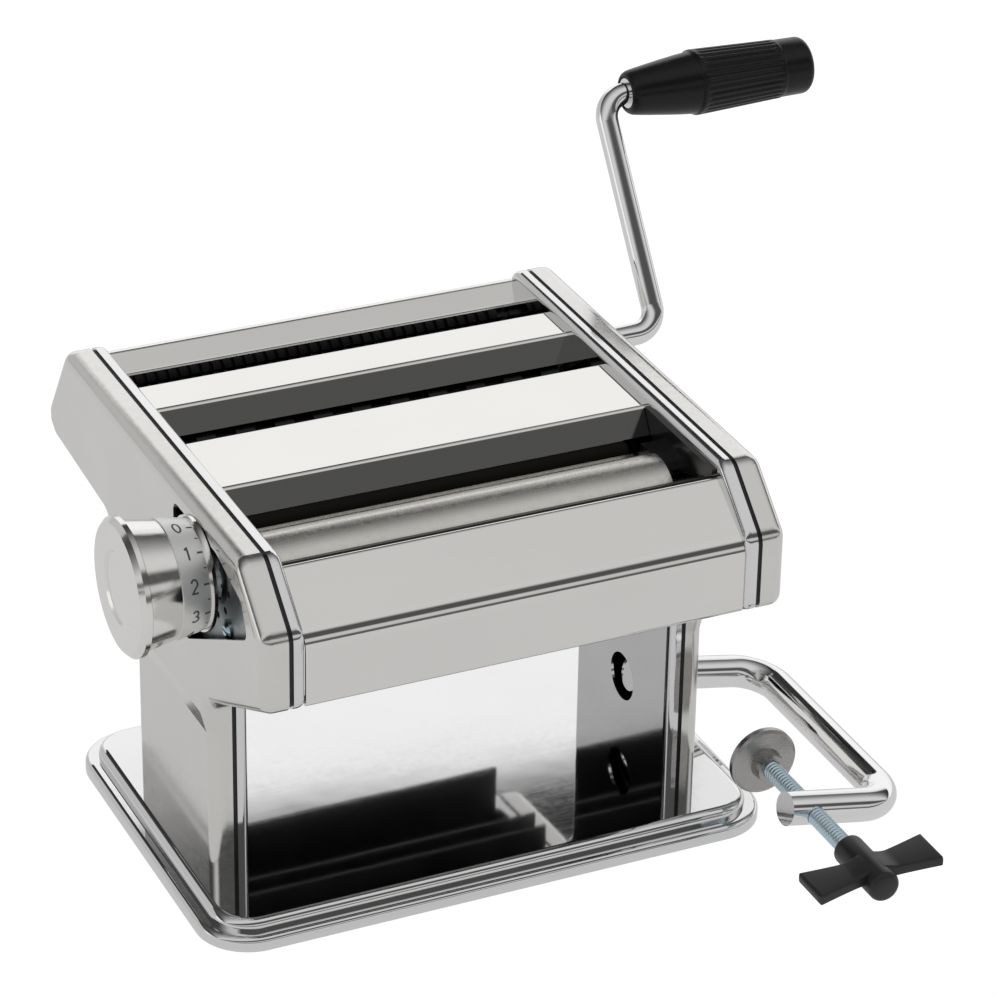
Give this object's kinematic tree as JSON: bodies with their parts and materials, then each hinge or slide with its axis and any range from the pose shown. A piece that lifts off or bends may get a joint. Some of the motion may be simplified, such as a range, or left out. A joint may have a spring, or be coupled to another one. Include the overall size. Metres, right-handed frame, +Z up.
{
  "type": "pasta machine",
  "caption": "Hand cranked table-top machine that rolls dough into sheets and cuts them into strips, with a thickness knob, a loose crank and a screw clamp.",
  "frame": {"origin": "middle of the base's underside, on the table", "axes": "+X along the rollers towards the crank, +Y from the thickness knob's roller side to the back, +Z up"},
  "size_m": [0.3229, 0.2837, 0.2011],
  "materials": {
    "tray_steel": "mirror polished sheet steel",
    "board": "matt",
    "mat_rubber": "matt",
    "trim_steel": "mirror polished sheet steel",
    "plate_steel": "plain plated steel",
    "cover_steel": "polished sheet steel",
    "panel_steel": "mirror polished sheet steel",
    "cheek_plastic": "glossy",
    "rod_steel": "turned steel",
    "comb_plastic": "matt",
    "roller_steel": "satin plated steel",
    "cutter_steel": "satin plated steel",
    "gear_steel": "cut steel",
    "dial_plate_steel": "polished sheet steel",
    "screw_zinc": "zinc plated",
    "knob_chrome": "chrome plated",
    "dial_print": "satin band with plain numbers",
    "crank_chrome": "chrome plated rod",
    "grip_plastic": "satin",
    "clamp_chrome": "chrome plated rod",
    "sleeve_plastic": "matt",
    "pad_steel": "plated steel",
    "wing_plastic": "moulded, fine grain"
  },
  "bodies": {
    "frame": {"base_tray": "tray_steel", "base_board": "board", "base_mat": "mat_rubber", "left_inner_trim": "trim_steel", "right_inner_trim": "trim_steel", "left_side_plate": "plate_steel", "right_side_plate": "plate_steel", "left_cover": "cover_steel", "right_cover": "cover_steel", "left_bearing_plate": "plate_steel", "right_bearing_plate": "plate_steel", "front_panel": "panel_steel", "rear_panel": "panel_steel", "front_guide": "panel_steel", "rear_guide": "panel_steel", "feed_guard": "comb_plastic", "left_cheek": "cheek_plastic", "right_cheek": "cheek_plastic", "front_tie_rod": "rod_steel", "middle_tie_rod": "rod_steel", "rear_tie_rod": "rod_steel", "front_scraper": "comb_plastic", "rear_scraper": "comb_plastic", "wide_comb_front": "comb_plastic", "wide_comb_rear": "comb_plastic", "narrow_comb_front": "comb_plastic", "narrow_comb_rear": "comb_plastic", "dial_plate": "dial_plate_steel", "dial_screw_low": "screw_zinc", "dial_screw_rear": "screw_zinc"},
    "rear_roller": {"rear_roller": "roller_steel", "rear_roller_gear": "gear_steel", "roller_crank_socket": "gear_steel"},
    "carriage": {"left_roller_block": "gear_steel", "right_roller_block": "gear_steel", "carriage_bar": "rod_steel"},
    "front_roller": {"front_roller": "roller_steel", "front_roller_gear": "gear_steel"},
    "wide_front": {"wide_cutter_front": "cutter_steel", "wide_gear_front": "gear_steel", "wide_crank_socket": "gear_steel"},
    "wide_rear": {"wide_cutter_rear": "cutter_steel", "wide_gear_rear": "gear_steel"},
    "narrow_front": {"narrow_cutter_front": "cutter_steel", "narrow_gear_front": "gear_steel", "narrow_crank_socket": "gear_steel"},
    "narrow_rear": {"narrow_cutter_rear": "cutter_steel", "narrow_gear_rear": "gear_steel"},
    "crank": {"crank_rod": "crank_chrome", "crank_collar": "crank_chrome"},
    "grip": {"crank_grip": "grip_plastic"},
    "dial": {"dial_shaft": "gear_steel"},
    "knob": {"knob_body": "knob_chrome", "knob_cap": "knob_chrome", "dial_ring": "dial_print"},
    "clamp_sleeve": {"clamp_sleeve": "sleeve_plastic"},
    "clamp": {"clamp_rod": "clamp_chrome"},
    "pad": {"pressure_pad": "pad_steel"},
    "screw": {"clamp_screw": "screw_zinc", "wing_knob": "wing_plastic"}
  },
  "joints": [
    {"name": "rear_roller_spin", "type": "hinge", "parent": "frame", "child": "rear_roller", "pos_m": [0, -0.0043, 0.1175], "axis": [1, 0, 0], "continuous": true},
    {"name": "carriage_slide", "type": "slide", "parent": "frame", "child": "carriage", "axis": [0, 1, 0], "range_m": [0, 0.0019]},
    {"name": "front_roller_spin", "type": "hinge", "parent": "carriage", "child": "front_roller", "pos_m": [0, -0.0341, 0.1175], "axis": [1, 0, 0], "continuous": true},
    {"name": "wide_front_spin", "type": "hinge", "parent": "frame", "child": "wide_front", "pos_m": [0, 0.029, 0.1195], "axis": [1, 0, 0], "continuous": true},
    {"name": "wide_rear_spin", "type": "hinge", "parent": "frame", "child": "wide_rear", "pos_m": [0, 0.049, 0.1195], "axis": [1, 0, 0], "continuous": true},
    {"name": "narrow_front_spin", "type": "hinge", "parent": "frame", "child": "narrow_front", "pos_m": [0, 0.073, 0.1195], "axis": [1, 0, 0], "continuous": true},
    {"name": "narrow_rear_spin", "type": "hinge", "parent": "frame", "child": "narrow_rear", "pos_m": [0, 0.093, 0.1195], "axis": [1, 0, 0], "continuous": true},
    {"name": "crank_pull", "type": "slide", "parent": "narrow_front", "child": "crank", "axis": [1, 0, 0], "range_m": [0, 0.03]},
    {"name": "grip_spin", "type": "hinge", "parent": "crank", "child": "grip", "pos_m": [0.17, 0.12289, 0.18918], "axis": [1, 0, 0], "continuous": true},
    {"name": "dial_turn", "type": "hinge", "parent": "frame", "child": "dial", "pos_m": [-0.1, -0.031, 0.1215], "axis": [1, 0, 0], "range_deg": [0, 288]},
    {"name": "knob_pull", "type": "slide", "parent": "dial", "child": "knob", "axis": [-1, 0, 0], "range_m": [0, 0.004], "stiffness_N_per_m": 500, "springref_m": -0.003},
    {"name": "clamp_pull", "type": "slide", "parent": "frame", "child": "clamp_sleeve", "axis": [0.9813, 0, -0.1925], "range_m": [0, 0.06]},
    {"name": "clamp_swing", "type": "hinge", "parent": "clamp_sleeve", "child": "clamp", "pos_m": [0.079, -0.001, 0.0283], "axis": [0.9813, 0, -0.1925], "range_deg": [-30, 2.5]},
    {"name": "pad_slide", "type": "slide", "parent": "clamp", "child": "pad", "axis": [0, 1, 0], "range_m": [-0.018, 0.0205]},
    {"name": "screw_turn", "type": "hinge", "parent": "pad", "child": "screw", "pos_m": [0.0982, -0.12, 0.02453], "axis": [0, 1, 0], "range_deg": [-4321, 4921]}
  ],
  "couplings": [
    {"joint": "front_roller_spin", "follows": "rear_roller_spin", "ratio": -1},
    {"joint": "wide_rear_spin", "follows": "wide_front_spin", "ratio": -1},
    {"joint": "narrow_rear_spin", "follows": "narrow_front_spin", "ratio": -1},
    {"joint": "dial_turn", "follows": "carriage_slide", "rad_per_m": 2645.6},
    {"joint": "screw_turn", "follows": "pad_slide", "rad_per_m": 4188.8}
  ]
}
